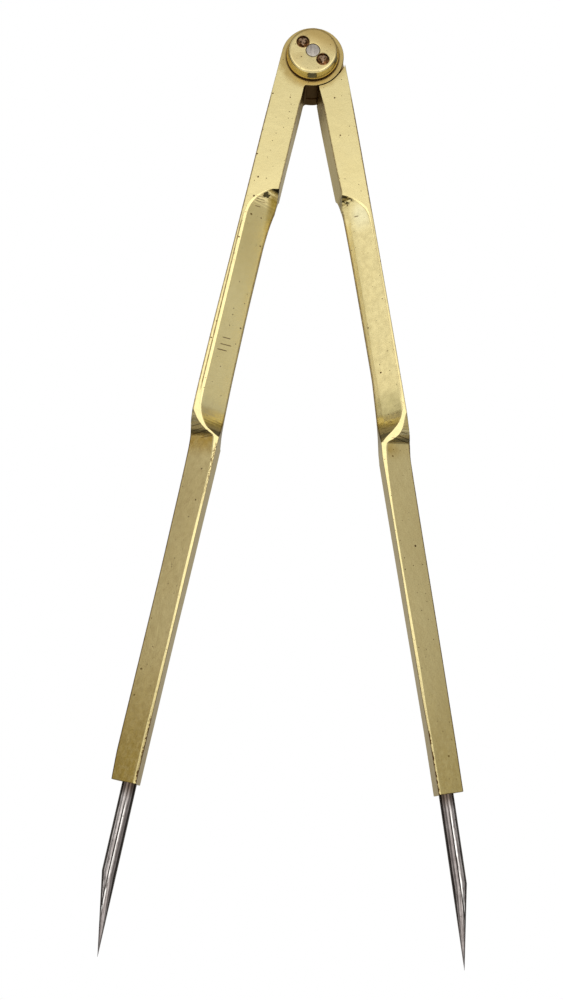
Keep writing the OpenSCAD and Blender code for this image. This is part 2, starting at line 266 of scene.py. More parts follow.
def ripple(leg, s, x, z, face):
    """Height of filing marks and uneven polishing on the faces, mm."""
    seed = leg["seed"]
    fade = min(1.0, max(0.0, (s - 16) / 12))
    out = 0.022 * fade * noise.noise(Vector((s / 13 + seed, x / 7, z / 7 + seed * 3)))
    out += 0.006 * fade * noise.noise(Vector((s / 4.5, x / 3.5 + seed, z / 3.5)))
    if face in (FRONT + 0.5, BACK_FACET + 0.5) and 46.5 < s < 103.5:
        out -= 0.13 + 0.04 * noise.noise(Vector((s * 0.9, seed, 4.0)))
    if face in (HOLLOW, KNEE, BACK_HOLLOW):
        strength = 0.028 * bump(s, 44.2, 5.4) + 0.01 * bump(s, 108.5, 5)
    elif face in (SLOPE, BACK_SLOPE):
        strength = 0.03 * bump(s, 109.3, 4.2)
    else:
        return out
    rough = noise.noise(Vector((s * 1.1 + seed, x / 5, z / 5)))
    wave = math.sin(s * 8.2 + 1.6 * noise.noise(Vector((s / 2.1, x / 3, seed))))
    return out + strength * (0.65 * wave + 1.2 * rough)


def as_object(bm, name):
    """The finished mesh as an object of the scene."""
    mesh = bpy.data.meshes.new(name)
    bm.to_mesh(mesh)
    bm.free()
    obj = bpy.data.objects.new(name, mesh)
    scene.collection.objects.link(obj)
    return obj


def loft(name, leg):
    """One closed mesh of a leg, from the top of its round head to the end of the brass."""
    r = leg["head_r"]
    # rings every 3 degrees round the head, and close together where the shape turns
    stops = [-r * math.cos(math.radians(k * 3)) for k in range(30)]
    stops += [k * 0.6 for k in range(13)]
    s = 7.8
    while s < LEG_LEN - 0.2:
        stops.append(s)
        if s < 9.6:
            s += 0.08
        elif 39.4 < s < 50 or 102.5 < s < 114:
            s += 0.12
        elif 36 < s < 56 or 96 < s < 120:
            s += 0.4
        else:
            s += 1.3
    rings = []
    for s in stops:
        shrink = 0.0
        depth = s + r
        if depth < EDGE_R:
            shrink = EDGE_R - math.sqrt(max(0, EDGE_R ** 2 - (EDGE_R - depth) ** 2))
        planes = leg_planes(leg, max(s, -r + 0.004), shrink)
        points = section(planes, 0.02 if depth < 0.02 else EDGE_R)
        if points:
            rings.append((s, points))
    last = leg_planes(leg, LEG_LEN, 0)
    for turn in (0, 30, 60, 90):
        a = math.radians(turn)
        planes = [(b, d - EDGE_R * (1 - math.cos(a))) for b, d in last]
        rings.append((LEG_LEN - EDGE_R * (1 - math.sin(a)), section(planes, EDGE_R)))
    bm = bmesh.new()
    grid = []
    for s, points in rings:
        row = []
        for x, z, a, face in points:
            h = ripple(leg, s, x, z, face)
            row.append(bm.verts.new((leg["side"] * (x + h * math.cos(a)) * MM, -s * MM,
                                     (z + h * math.sin(a)) * MM)))
        grid.append(row)
    for lower, upper in zip(grid[:-1], grid[1:]):
        count = len(lower)
        for i in range(count):
            j = (i + 1) % count
            bm.faces.new((lower[i], lower[j], upper[j], upper[i]))
    bm.faces.new(grid[0])
    bm.faces.new(list(reversed(grid[-1])))
    bmesh.ops.remove_doubles(bm, verts=bm.verts, dist=0.004 * MM)
    bmesh.ops.recalc_face_normals(bm, faces=bm.faces)
    return as_object(bm, name)


def lathe(name, profile, centre=(0, 0, 0), axis="Z", segments=128):
    """Closed round solid from a profile of (radius, height) in mm.

    A profile that starts away from the axis is closed into a ring with a hole."""
    bm = bmesh.new()
    rings = []
    for radius, height in profile:
        if radius < 1e-6:
            rings.append([bm.verts.new((0, 0, height * MM))])
        else:
            rings.append([bm.verts.new((radius * MM * math.cos(2 * math.pi * k / segments),
                                        radius * MM * math.sin(2 * math.pi * k / segments),
                                        height * MM)) for k in range(segments)])
    closed = len(rings[0]) > 1
    pairs = list(zip(rings[:-1], rings[1:])) + ([(rings[-1], rings[0])] if closed else [])
    for a, b in pairs:
        for k in range(segments):
            n = (k + 1) % segments
            if len(a) == 1:
                bm.faces.new((a[0], b[k], b[n]))
            elif len(b) == 1:
                bm.faces.new((a[k], a[n], b[0]))
            else:
                bm.faces.new((a[k], a[n], b[n], b[k]))
    bmesh.ops.recalc_face_normals(bm, faces=bm.faces)
    if axis == "Y":
        bmesh.ops.rotate(bm, verts=bm.verts, cent=(0, 0, 0),
                         matrix=Matrix.Rotation(math.pi / 2, 3, "X"))
    bmesh.ops.translate(bm, verts=bm.verts, vec=Vector(centre) * MM)
    return as_object(bm, name)


def drum(name, radius, low, high):
    """Round cutter on the pivot's line."""
    return lathe(name, [(0, low), (radius, low), (radius, high), (0, high)], segments=160)


def prism(name, outline, low, high):
    """Upright solid over an outline in mm."""
    bm = bmesh.new()
    rings = [[bm.verts.new((x * MM, y * MM, height * MM)) for x, y in outline]
             for height in (low, high)]
    count = len(outline)
    for k in range(count):
        n = (k + 1) % count
        bm.faces.new((rings[0][k], rings[0][n], rings[1][n], rings[1][k]))
    bm.faces.new(list(reversed(rings[0])))
    bm.faces.new(rings[1])
    bmesh.ops.recalc_face_normals(bm, faces=bm.faces)
    return as_object(bm, name)


def relief_cutter(low, high, segments=240):
    """Cutter that makes room for a cheek in the tongue leg's shoulder.

    Its outline is the union of two overlapping circles, one of them round the pivot."""
    near, far, cx, cy = CHEEK_R + 0.33, CHEEK_R + 0.7, 0.41, 0.84
    outline = []
    for k in range(segments):
        a = 2 * math.pi * k / segments
        along = cx * math.cos(a) + cy * math.sin(a)
        across = cx * math.sin(a) - cy * math.cos(a)
        r = max(near, along + math.sqrt(far * far - across * across))
        outline.append((r * math.cos(a), r * math.sin(a)))
    return prism("relief", outline, low, high)


def combine(obj, cutters, operation="DIFFERENCE"):
    """Applies boolean operations and removes the cutters."""
    for cutter in cutters:
        mod = obj.modifiers.new("cut", "BOOLEAN")
        mod.operation = operation
        mod.solver = "EXACT"
        mod.object = cutter
    dg = bpy.context.evaluated_depsgraph_get()
    mesh = bpy.data.meshes.new_from_object(obj.evaluated_get(dg))
    obj.modifiers.clear()
    old = obj.data
    obj.data = mesh
    mesh.name = old.name
    bpy.data.meshes.remove(old)
    for cutter in cutters:
        bpy.data.objects.remove(cutter)


def finish_mesh(obj, sharp=38):
    """Clean mesh with smooth shading that breaks at sharp edges."""
    bm = bmesh.new()
    bm.from_mesh(obj.data)
    bmesh.ops.remove_doubles(bm, verts=bm.verts, dist=0.0005 * MM)
    bmesh.ops.dissolve_degenerate(bm, edges=bm.edges, dist=0.0003 * MM)
    bm.to_mesh(obj.data)
    bm.free()
    obj.data.shade_smooth()
    obj.data.set_sharp_from_angle(angle=math.radians(sharp))
    mod = obj.modifiers.new("normals", "WEIGHTED_NORMAL")
    mod.keep_sharp = True
    mod.weight = 60


def seat(obj, angle):
    """Stands a piece made closed along -Y at its place in the frame."""
    obj.data.transform(Matrix.Translation((0, 0, MID_Z * MM))
                       @ Matrix.Rotation(math.radians(angle), 4, "Z"))


def point_frame(leg):
    """Place of a steel point: its own -Y runs toward the tip."""
    side = leg["side"]
    return (Matrix.Translation((side * (BASE + leg["point_in"] + POINT_R) * MM, -LEG_LEN * MM, 0))
            @ Matrix.Rotation(math.radians(-side * leg["point_lean"]), 4, "Z"))


# --- brass legs -------------------------------------------------------------
def socket(leg):
    """Cutter for the hole of a steel point, with a small countersink."""
    hole_r, rim_r = POINT_R + 0.015, POINT_R + 0.2
    hole = lathe("socket", [(0, -6), (hole_r, -6), (hole_r, -0.12), (rim_r, 0.1), (rim_r, 2),
                            (0, 2)], axis="Y")
    hole.data.transform(point_frame(leg))
    return hole


fork = loft("fork_leg_brass", FORK)
combine(fork, [drum("slot", CHEEK_R + 0.04, -SLOT, SLOT), drum("bore", PIN_R + 0.01, -8, 8),
               socket(FORK)])
finish_mesh(fork)
seat(fork, FORK["angle"])
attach(fork, "fork")
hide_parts("fork_leg")

tongue = loft("tongue_leg_brass", TONGUE)
reliefs = [relief_cutter(SLOT - 0.03, 9), relief_cutter(-9, 0.03 - SLOT)]
# the small corner below the tongue's head, which would meet the fork's crotch
corner = prism("corner", [(-0.96, -10.16), (-0.96, -8.452), (0.75, -8.452)], -7, 7)
combine(tongue, reliefs + [corner, drum("bore", PIN_R + 0.04, -8, 8), socket(TONGUE)])
finish_mesh(tongue)
seat(tongue, TONGUE["angle"])
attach(tongue, "tongue")
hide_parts("tongue_leg")


# --- steel points ------------------------------------------------------------
def steel_point(leg):
    """Round shank that is ground on its outer side down to a sharp end."""
    side, hidden, grind, tip_r, cone_len = leg["side"], 15.9, 21.0, 0.05, 80
    taper = math.atan(2 * POINT_R / grind) / 2
    shank = lathe(leg["name"] + "_point_steel",
                  [(0, -hidden), (POINT_R - 0.1, -hidden), (POINT_R, 0.1 - hidden),
                   (POINT_R, POINT_SHOWN + 0.2), (0, POINT_SHOWN + 0.2)], axis="Y", segments=96)
    cone = lathe("cone", [(0, 0), (tip_r, 0), (tip_r + cone_len * math.tan(taper), cone_len),
                          (0, cone_len)], axis="Y", segments=256)
    cone.data.transform(Matrix.Translation((-side * POINT_R * MM, -POINT_SHOWN * MM, 0))
                        @ Matrix.Rotation(-side * taper, 4, "Z")
                        @ Matrix.Rotation(math.pi, 4, "Z"))
    combine(shank, [cone], "INTERSECT")
    shank.data.transform(point_frame(leg))
    finish_mesh(shank, 30)
    return shank


points = {}
for leg in (FORK, TONGUE):
    body = leg["name"]
    points[body] = obj = steel_point(leg)
    seat(obj, leg["angle"])
    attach(obj, body)
    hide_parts(body + "_point")


# --- pivot: pin, washer, nut and boss ----------------------------------------
def arc(cx, cz, r, first, last, count):
    """Points (radius, height) on a circle's arc, for a profile."""
    turns = [math.radians(first + (last - first) * k / count) for k in range(count + 1)]
    return [(cx + r * math.cos(a), cz + r * math.sin(a)) for a in turns]


pin = lathe("pivot_pin_steel",
            [(0, 0.02), (PIN_END_R - 0.09, 0.02), (PIN_END_R, 0.1), (PIN_END_R, 2.79),
             (PIN_R, 2.8), (PIN_R, 14.8), (PIN_END_R, 14.81), (PIN_END_R, PIN_TOP - 0.14),
             (PIN_END_R - 0.06, PIN_TOP - 0.06), (1.5, PIN_TOP - 0.01), (0, PIN_TOP)], segments=96)
finish_mesh(pin, 30)
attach(pin, "fork")
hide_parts("pivot_pin")

top = MID_Z + HALF_T       # height of the front cheek, mm
collar_r = PIN_END_R + 0.02
washer = lathe("nut_washer_steel",
               [(collar_r, top), (6.9, top), (6.95, top + 0.06), (6.95, top + 0.24),
                (6.9, top + 0.3), (collar_r, top + 0.3)])
finish_mesh(washer, 50)
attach(washer, "fork")
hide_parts("nut_washer")

low, high = top + 0.32, top + 3.7    # heights of the nut's two faces, mm
nut = lathe("spanner_nut_brass",
            [(1.9, low), (6.75, low), (7.08, low + 0.42)] + arc(7.06, low + 0.56, 0.14, -70, 0, 3)
            + [(7.14, low + 1.0), (6.96, low + 1.9), (6.72, high - 0.72)]
            + arc(6.03, high - 0.68, 0.68, 8, 90, 9) + [(5.6, high), (2.2, high)]
            + arc(2.08, high - 0.12, 0.12, 90, 180, 3)[1:] + [(1.93, high - 0.3)], segments=192)
holes = []
for half_turn in (0, 180):
    a = math.radians(HOLE_TURN + half_turn)
    holes.append(lathe("hole",
                       [(0, high - 2.35), (0.25, high - 2.2), (1.72, high - 1.3),
                        (1.75, high - 1.25), (1.75, high - 0.14), (1.9, high + 0.01),
                        (1.9, high + 1), (0, high + 1)],
                       (HOLE_AT * math.cos(a), HOLE_AT * math.sin(a), 0), segments=72))
combine(nut, holes)
finish_mesh(nut, 40)
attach(nut, "nut")
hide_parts("spanner_nut")

boss = lathe("back_boss_brass",
             [(collar_r, 0.02), (2.0, 0.0), (6.2, 0.0)] + arc(6.2, 0.45, 0.45, -90, -8, 7)
             + [(6.75, 0.9), (6.95, 1.7), (7.2, 2.5), (7.15, 2.6), (collar_r, 2.6)], segments=192)
finish_mesh(boss, 50)
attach(boss, "fork")
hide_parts("back_boss")


# --- materials ----------------------------------------------------------------
class Graph:
    """Small helper that wires the nodes of one material or world."""

    def __init__(self, tree):
        self.tree = tree

    def node(self, kind, inputs=None, **props):
        n = self.tree.nodes.new("ShaderNode" + kind)
        for key, value in props.items():
            setattr(n, key, value)
        for key, value in (inputs or {}).items():
            self.put(n.inputs[key], value)
        return n

    def put(self, socket, value):
        if isinstance(value, bpy.types.NodeSocket):
            self.tree.links.new(value, socket)
        else:
            socket.default_value = value

    def math(self, op, a, b=0.0, c=0.0, clamp=False):
        return self.node("Math", {0: a, 1: b, 2: c}, operation=op, use_clamp=clamp).outputs[0]

    def span(self, value, low, high, a=0.0, b=1.0):
        """Smooth step of the value from low..high to a..b."""
        return self.node("MapRange", {0: value, 1: low, 2: high, 3: a, 4: b},
                         interpolation_type="SMOOTHSTEP").outputs[0]

    def grain(self, vector, scale, detail=2.0, rough=0.5, stretch=None):
        """Noise of about scale cells in a mm; stretch multiplies its coordinates."""
        if stretch:
            vector = self.node("VectorMath", {0: vector, 1: stretch},
                               operation="MULTIPLY").outputs[0]
        return self.node("TexNoise", {"Vector": vector, "Scale": scale, "Detail": detail,
                                      "Roughness": rough}).outputs[0]

    def trace(self, value, function, first, last, count=31):
        """Value of a function of the input, through a curve node."""
        ys = [function(first + (last - first) * k / (count - 1)) for k in range(count)]
        low, high = min(ys) - 0.1, max(ys) + 0.1
        unit = self.node("MapRange", {0: value, 1: first, 2: last}).outputs[0]
        n = self.node("FloatCurve", {1: unit})
        points = n.mapping.curves[0].points
        for k, y in enumerate(ys):
            x = k / (count - 1)
            if k == 0 or k == count - 1:
                point = points[0 if k == 0 else -1]
                point.location = (x, (y - low) / (high - low))
            else:
                point = points.new(x, (y - low) / (high - low))
            point.handle_type = "VECTOR"
        n.mapping.update()
        return self.node("MapRange", {0: n.outputs[0], 1: 0.0, 2: 1.0, 3: low, 4: high}).outputs[0]

    def both(self, *parts):
        """Product of the parts: 1 where all of them are 1."""
        total = parts[0]
        for part in parts[1:]:
            total = self.math("MULTIPLY", total, part)
        return total

    def most(self, *parts):
        """Largest of the parts: 1 where any of them is 1."""
        total = parts[0]
        for part in parts[1:]:
            total = self.math("MAXIMUM", total, part)
        return total

    def length(self, a, b):
        """Square root of a * a + b * b."""
        return self.math("SQRT", self.math("ADD", self.math("MULTIPLY", a, a),
                                           self.math("MULTIPLY", b, b)))

    def mix(self, factor, a, b, blend="MIX"):
        n = self.node("Mix", data_type="RGBA", blend_type=blend)
        for socket, value in ((n.inputs[0], factor), (n.inputs[6], a), (n.inputs[7], b)):
            self.put(socket, value)
        return n.outputs[2]


def material(name):
    m = bpy.data.materials.new(name)
    m.use_nodes = True
    return m, Graph(m.node_tree), m.node_tree.nodes["Principled BSDF"]


# Colours of the brass.
BRASS = (0.875, 0.75, 0.375, 1)
BRASS_PATCH = (0.78, 0.62, 0.24, 1)
BRASS_SPECK = (0.66, 0.52, 0.22, 1)
BRASS_EDGE_TINT = (0.95, 0.88, 0.70, 1)
NUT_FACE = (0.84, 0.66, 0.32, 1)
# tarnish colour, also used for painted shade
TARNISH_AND_SHADE = (0.45, 0.31, 0.09, 1)
# dark colour for pits, scratches and painted shade
DEEP = (0.13, 0.065, 0.02, 1)
# painted shade colour
POCKET_SHADE = (0.035, 0.03, 0.012, 1)
FOOT = (0.55, 0.40, 0.10, 1)
# painted highlight colour
SLOPE_HIGHLIGHT = (1.0, 0.86, 0.46, 1)
# painted shade colour
WARM_SHADE = (0.56, 0.37, 0.075, 1)
# painted shade colour
GOLD_SHADE = (0.40, 0.28, 0.05, 1)
# painted highlight colour
GLARE = (1.0, 0.92, 0.56, 1)

# Colours of the steel.
POINT_DARK, POINT_LIGHT = (0.30, 0.265, 0.25, 1), (0.66, 0.61, 0.58, 1)
PIN_DARK, PIN_LIGHT = (0.38, 0.34, 0.30, 1), (0.56, 0.51, 0.44, 1)
# the washer is near black: painted shade for the gap under the nut's foot
WASHER_SHADE_DARK, WASHER_SHADE_LIGHT = (0.06, 0.05, 0.04, 1), (0.14, 0.11, 0.08, 1)


def place(g, angle):
    """Coordinates in mm in the frame of a closed leg, and their parts."""
    coord = g.node("TexCoord").outputs["Object"]
    mapped = g.node("Mapping", {0: coord, 1: (0, 0, -MID_Z), 2: (0, 0, math.radians(-angle)),
                                3: (1 / MM, 1 / MM, 1 / MM)}).outputs[0]
    parts = g.node("SeparateXYZ", {0: mapped}).outputs
    return mapped, parts[0], g.math("MULTIPLY", parts[1], -1.0), parts[2]


def pits(g, vector, cell, low, high, keep):
    """Sparse round spots on the faces that look up or down: 1 inside a spot.

    One cell may hold one spot, of radius low to high, and keep is the share that do."""
    v = g.node("TexVoronoi", {"Vector": vector, "Scale": 1 / cell}, feature="F1",
               voronoi_dimensions="2D")
    dist = g.math("MULTIPLY", v.outputs["Distance"], cell)
    rnd = g.node("SeparateXYZ", {0: v.outputs["Color"]}).outputs
    size = g.math("MULTIPLY_ADD", rnd[0], high - low, low)
    facing = g.node("SeparateXYZ", {0: g.node("NewGeometry").outputs["True Normal"]}).outputs[2]
    return g.both(g.math("LESS_THAN", dist, size), g.math("GREATER_THAN", rnd[1], 1 - keep),
                  g.math("GREATER_THAN", g.math("ABSOLUTE", facing), 0.5))


def strokes(g, s, w, marks):
    """Short scratches across the leg: 1 inside one of them.

    Each mark is its place along the leg, where it starts and ends, and half its width."""
    across = g.math("SUBTRACT", s, g.math("MULTIPLY", w, 0.22))
    parts = []
    for where, first, last, half in marks:
        line = g.span(g.math("ABSOLUTE", g.math("SUBTRACT", across, where)), half, half * 0.4)
        parts.append(g.both(line, g.span(w, first, first + 0.5), g.span(w, last, last - 0.5)))
    return g.most(*parts)


def brass_common(g, shader, vector, tarnish_and_shade, rough, fine, bumps):
    """Colour variation, pits, lines of polishing and bump shared by the brass pieces, with tarnish
    and painted shade mixed in by the given mask.
    """
    patch = g.grain(vector, 0.16, 3)
    speck = g.grain(vector, 2.8, 4, 0.7)
    colour = g.mix(g.span(patch, 0.35, 0.7, 0.0, 0.12), BRASS, BRASS_PATCH)
    colour = g.mix(g.span(speck, 0.3, 0.75, 0.0, fine), colour, BRASS_SPECK)
    # tarnish, and painted shade where the mask carries it
    colour = g.mix(tarnish_and_shade, colour, TARNISH_AND_SHADE)
    spots = g.most(pits(g, vector, 6.0, 0.1, 0.28, 0.45), pits(g, vector, 2.4, 0.05, 0.13, 0.35))
    colour = g.mix(g.both(spots, 0.93), colour, DEEP)
    g.put(shader.inputs["Metallic"], 1.0)
    g.put(shader.inputs["Specular Tint"], BRASS_EDGE_TINT)
    shade = g.span(g.grain(vector, 0.7, 3), 0.3, 0.7, rough, rough + 0.07)
    shade = g.math("ADD", shade, g.both(tarnish_and_shade, 0.25), clamp=True)
    g.put(shader.inputs["Roughness"], shade)
    lines = g.grain(vector, 1.0, 2, 0.5, (7.0, 0.35, 7.0))
    height = g.math("ADD", g.both(g.grain(vector, 0.4, 4, 0.55), bumps),
                    g.both(lines, bumps * 0.12))
    height = g.math("SUBTRACT", height, g.both(spots, 0.05))
    bump_node = g.node("Bump", {"Strength": 1.0, "Distance": MM, "Height": height})
    g.put(shader.inputs["Normal"], bump_node.outputs[0])
    return colour


def ellipse(g, s, w, centre, radii, wobble):
    """Soft irregular patch on the leg: 1 at its middle."""
    ds = g.math("DIVIDE", g.math("SUBTRACT", s, centre[0]), radii[0])
    dw = g.math("DIVIDE", g.math("SUBTRACT", w, centre[1]), radii[1])
    away = g.math("ADD", g.length(ds, dw), g.span(wobble, 0.3, 0.7, -0.4, 0.4))
    return g.span(away, 1.15, 0.6)


def leg_brass(leg):
    """Brass of one leg, with its stains, marks, painted shade and painted highlights at their
    places.

    In mm, s is the distance below the pivot, w the width outward from BASE and z the height
    from the leg's middle plane. A span from a higher number to a lower one fades out."""
    m, g, shader = material(leg["name"] + "_brass")
    vector, x, s, z = place(g, leg["angle"])
    is_fork = leg is FORK
    w = g.math("SUBTRACT", g.math("ABSOLUTE", x), BASE)
    wobble = g.grain(vector, 0.6, 3)
    fine = g.grain(vector, 1.6, 3, 0.6)
    side_z = g.math("ABSOLUTE", z)
    depth = g.span(side_z, 6.08, 5.8)       # 1 below the flat faces
    from_pin = g.length(x, s)
    ragged = g.math("ADD", from_pin, g.span(wobble, 0.2, 0.8, -0.4, 0.4))

    # tarnish and painted shade round the head, in the crotch and in the upper run-outs
    # tarnish round the head, strongest on the flat faces, where it also paints the dark reflections
    # on the cheeks round the nut
    ring = g.both(g.span(ragged, 8.2, 10.8, 0.74, 0.0), g.span(side_z, 4.6, 6.0, 0.35, 1.0))
    # tarnish in the crotch, which also stands for the shade there
    crotch = g.both(depth, g.span(s, 11.0, 25.0, 0.85, 0.0), g.span(w, 3.0, 1.5),
                    g.span(fine, 0.35, 0.6, 0.55, 1.0))
    # painted shade deep in the crotch, mottled
    crotch_shade = g.both(crotch, g.span(g.grain(vector, 0.5, 3), 0.42, 0.58, 0.8, 0.0),
                    g.span(s, 19.0, 13.0))
    # painted shade on the sides in the gap between the fork's cheeks and the tongue's shoulder
    facing = g.span(s, 0.5, 4.0)
    if not is_fork:
        facing = g.most(facing, g.span(from_pin, 8.55, 8.8))
    gap_shade = g.both(depth, g.span(from_pin, 10.2, 9.3), facing)
    # painted shadow on the cheek round the foot of the nut
    contact_shadow = g.span(from_pin, 7.75, 7.25, 0.0, 0.9)
    patches = g.span(g.grain(vector, 1.0, 2, 0.5, (0.5, 1.6, 0.5)), 0.48, 0.6)
    # darker patches in the upper run-outs: painted shade with tarnish
    runout = g.both(g.span(s, 39.8, 40.6), g.span(s, 45.0, 42.0), depth, patches, 0.45)
    tarnish_and_shade = g.most(ring, crotch, runout)
    colour = brass_common(g, shader, vector, tarnish_and_shade, 0.15, 0.28, 0.024)

    # browner metal at the foot; painted shade at the low shoulder and along the hollow, and painted
    # highlights on the slope and in the tongue's hollow
    foot = g.both(g.span(s, 158.0, 204.0, 0.0, 1.0 if is_fork else 0.62),
                  g.span(g.grain(vector, 0.9, 4, 0.7), 0.35, 0.6, 0.7, 1.0),
                  g.span(z, 6.15, 5.9, 0.35, 1.0))
    colour = g.mix(foot, colour, FOOT)
    middle = g.trace(s, lambda d: max(0.0, (leg["facet"](d) + leg["slope"](d)) / 2),
                     104, 111.5, 16)
    on_slope = g.span(g.math("SUBTRACT", w, middle), -0.1, 0.1)
    on_hollow = g.both(g.math("SUBTRACT", 1.0, on_slope), depth, g.span(s, 112.4, 112.0))
    if is_fork:
        olive_shade = (0.47, 0.43, 0.25, 1)
        end = g.span(s, 99.0, 106.5, 0.0, 0.5)
        warm_shade = g.both(g.span(s, 109.6, 111.0, 0.0, 0.9), g.span(s, 118.0, 112.2))
    else:
        olive_shade = (0.50, 0.43, 0.19, 1)
        end = g.both(g.span(s, 94.5, 100.5, 0.0, 0.78), g.span(s, 103.0, 107.5, 1.0, 0.35))
        end = g.most(end, g.both(g.span(w, 3.8, 2.2), g.span(s, 46.0, 53.0),
                                 g.span(s, 92.0, 78.0), 0.3))
        warm_shade = g.both(g.span(s, 110.6, 111.8, 0.0, 0.8), g.span(s, 117.0, 112.4),
                      g.span(w, 6.5, 2.2, 0.35, 1.0))
        warm_shade = g.most(warm_shade, g.both(g.span(s, 102.5, 105.0, 0.0, 0.42), g.span(s, 109.0, 107.8)))
    streaked = g.span(wobble, 0.3, 0.65, 0.75, 1.0)
    # painted shade: an olive tone along the hollow toward its ends
    colour = g.mix(g.both(end, on_hollow, streaked), colour, olive_shade)
    # painted highlight: a pale patch on the slope at the low shoulder
    highlight_from = 104.0 if is_fork else 107.8
    slope_highlight = g.both(g.span(s, highlight_from, highlight_from + 1.8, 0.0, 0.85), g.span(s, 112.0, 110.6), on_slope,
                  depth)
    colour = g.mix(slope_highlight, colour, SLOPE_HIGHLIGHT)
    # painted shade: a warmer, darker brown on the slope round the low shoulder
    colour = g.mix(g.both(warm_shade, on_slope, depth, streaked), colour, WARM_SHADE)
    if is_fork:
        # painted shade: darker gold-brown along the inner edge of the fork's hollow and on the
        # hollow below its upper end
        gold_shade = g.both(g.span(w, 3.0, 0.8), g.span(s, 41.2, 42.4), g.span(s, 61.0, 43.0), depth,
                      g.span(wobble, 0.3, 0.7, 0.8, 1.0))
        gold_shade = g.most(gold_shade, g.both(g.span(s, 43.0, 46.0), g.span(s, 76.0, 54.0, 0.0, 0.27),
                                   on_hollow))
        colour = g.mix(gold_shade, colour, GOLD_SHADE)
    else:
        # painted highlight: a pale glare in the tongue's hollow below its upper end
        painted_glare = g.both(g.span(s, 42.5, 46.5), g.span(s, 53.0, 47.5), g.span(w, 2.2, 4.6), depth,
                        0.8)
        colour = g.mix(painted_glare, colour, GLARE)

    # dark lines: painted dark reflections along the edges and painted shade in the groove, dark
    # lines at the seats of the points, and painted shade in the run-outs
    to_out = g.math("SUBTRACT", g.trace(s, leg["outer"], 12, 203), w)
    to_in = g.math("SUBTRACT", w, g.trace(s, leg["front_in"], 12, 203))
    to_thin = g.math("SUBTRACT", w, g.trace(s, lambda d: max(leg["edge"](d), -0.3), 44, 112))
    groove = g.math("ABSOLUTE", g.math("SUBTRACT", w, 7.72 if is_fork else 7.78))
    inside_hollow = g.both(g.span(s, 43.0, 46.0), g.span(s, 112.0, 109.0))
    broken = g.span(g.grain(vector, 0.8, 3, 0.6), 0.3, 0.6, 0.6, 1.0)
    flat = g.span(side_z, 5.9, 6.05)        # 1 on the flat faces
    # painted dark reflections along the rounded outer, inner and thin edges, and painted shade in
    # the groove along the front face
    lines = g.most(
        g.both(g.span(to_out, 0.40, 0.24), g.span(s, 11.0, 16.0), g.span(side_z, 5.6, 5.9),
               g.span(s, 112.0, 108.0), g.span(s, 44.0, 50.0, 0.9, 0.8 if is_fork else 0.4)),
        g.both(g.span(to_out, 0.36, 0.2), g.span(s, 108.0, 112.0), 0.75),
        g.both(g.span(groove, 0.24, 0.12), g.span(s, 47.0, 53.0), g.span(s, 101.0, 97.0),
               g.span(side_z, 5.8, 6.0), 0.85 if is_fork else 0.35),
        g.both(g.span(to_in, 0.38, 0.2), g.span(s, 12.0, 15.0), flat, g.span(s, 42.0, 40.0), 0.75),
        g.both(g.span(to_in, 0.24, 0.1), g.span(s, 112.0, 114.0), flat,
               g.span(s, 130.0, 190.0, 0.25, 0.9)),
        g.both(g.span(to_thin, 0.5, 0.2), inside_hollow, 0.7))
    jag = g.math("SUBTRACT", w, g.span(g.grain(vector, 1.2, 3, 0.7), 0.3, 0.7, -0.2, 0.35))
    jag = g.math("ABSOLUTE", jag)
    seat_line = g.both(g.span(jag, 0.3, 0.16), g.span(s, 183.0, 188.0), flat)
    if is_fork:
        seat_line = g.most(seat_line, g.both(
            g.span(g.math("ABSOLUTE", g.math("SUBTRACT", jag, 0.3)), 0.2, 0.1),
            g.span(s, 112.6, 113.4), g.span(s, 136.0, 118.0), flat, 0.8))
        # painted shade: a dark crescent in the pocket at the top of the hollow
        pocket_shade = g.most(
            g.both(g.span(s, 39.85, 40.0), g.span(s, 41.0, 40.45), g.span(w, 3.2, 2.4)),
            ellipse(g, s, w, (42.1, 3.0), (0.75, 1.05), fine))
        marks = [(82.7, 3.2, 5.6, 0.2), (84.6, 2.6, 5.8, 0.2), (86.2, 3.4, 6.2, 0.22),
                 (44.6, 3.6, 5.4, 0.14), (42.2, 3.2, 5.6, 0.1), (42.75, 2.8, 5.6, 0.1),
                 (43.3, 2.6, 5.4, 0.1), (107.5, 5.6, 8.2, 0.12), (108.6, 4.4, 8.4, 0.1),
                 (109.3, 2.9, 7.9, 0.12), (110.7, 1.6, 5.2, 0.12)]
    else:
        from_top = g.math("SUBTRACT", g.trace(s, leg["hollow"], 41.0, 47.0, 28), w)
        edge_band = g.both(g.span(from_top, -0.2, 0.05), g.span(from_top, 1.15, 0.7))
        lower_band = g.both(g.span(from_top, 1.5, 1.8), g.span(from_top, 2.7, 2.2),
                            g.span(w, 3.4, 2.6))
        # painted shade: dark bands in the pocket at the top of the hollow
        pocket_shade = g.both(g.most(edge_band, lower_band), g.span(w, 4.4, 3.4), g.span(s, 44.0, 43.2),
                        g.span(s, 40.7, 41.0), g.span(fine, 0.36, 0.5))
        marks = [(46.2, 3.4, 4.9, 0.2), (104.6, 3.0, 4.6, 0.12), (36.4, 2.0, 3.1, 0.12),
                 (106.4, 1.0, 3.0, 0.1), (108.9, 4.9, 8.2, 0.14), (109.6, 3.2, 8.2, 0.12),
                 (107.8, 6.0, 8.2, 0.1)]
    scratches = g.both(strokes(g, s, w, marks), 0.78)
    # painted shade and shadows, seat lines, the painted edge lines and scratches, all in one dark
    # colour
    dark = g.most(gap_shade, contact_shadow, crotch_shade, seat_line, g.both(lines, broken, 0.95), scratches)
    colour = g.mix(dark, colour, DEEP)
    # painted shade in the pockets at the hollows' upper ends
    colour = g.mix(g.both(pocket_shade, depth, 0.95), colour, POCKET_SHADE)
    g.put(shader.inputs["Base Color"], colour)
    return m


